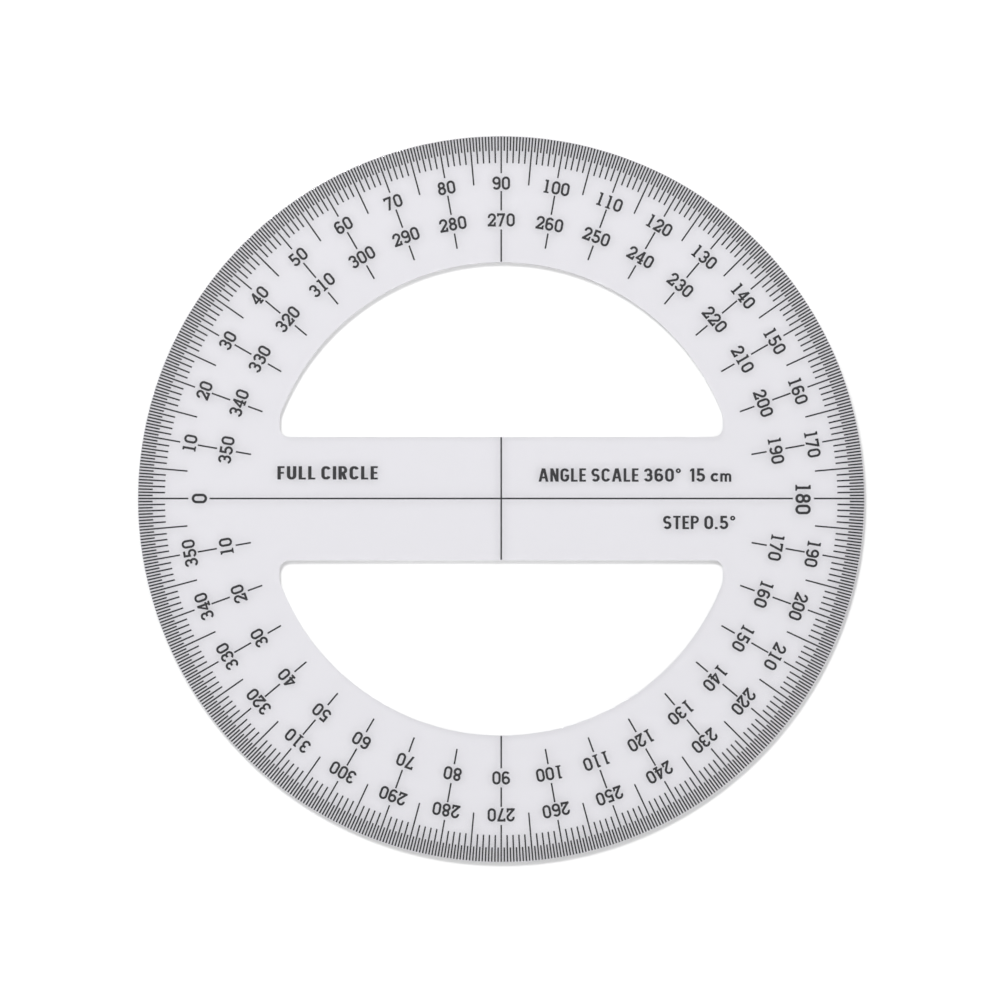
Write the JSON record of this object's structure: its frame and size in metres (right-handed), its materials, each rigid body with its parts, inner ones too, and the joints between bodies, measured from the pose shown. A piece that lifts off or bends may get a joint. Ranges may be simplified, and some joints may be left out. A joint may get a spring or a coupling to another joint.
{
  "type": "protractor",
  "caption": "Full-circle protractor: a flat clear plastic disc with a straight bar between D-shaped openings and a printed degree scale.",
  "frame": {"origin": "on the underside of the sheet, below the centre cross of the scale", "axes": "+Z out of the printed upper face, +X along the base line towards 180, +Y towards 90 on the outer scale"},
  "size_m": [0.15, 0.15, 0.002],
  "materials": {
    "clear_plastic": "clear acrylic, polished faces, faintly cool, fine handling scratches",
    "black_ink": "thin matt black printing ink"
  },
  "bodies": {
    "root": {"plate": "clear_plastic", "half_degree_marks": "black_ink", "one_degree_marks": "black_ink", "five_degree_marks": "black_ink", "ten_degree_marks": "black_ink", "zero_straight_marks": "black_ink", "numeral_links": "black_ink", "numeral_tails": "black_ink", "base_line": "black_ink", "upright_line": "black_ink", "outer_numerals": "black_ink", "inner_numerals": "black_ink", "end_numerals": "black_ink", "label_left": "black_ink", "label_right": "black_ink", "label_lower": "black_ink"}
  },
  "joints": []
}
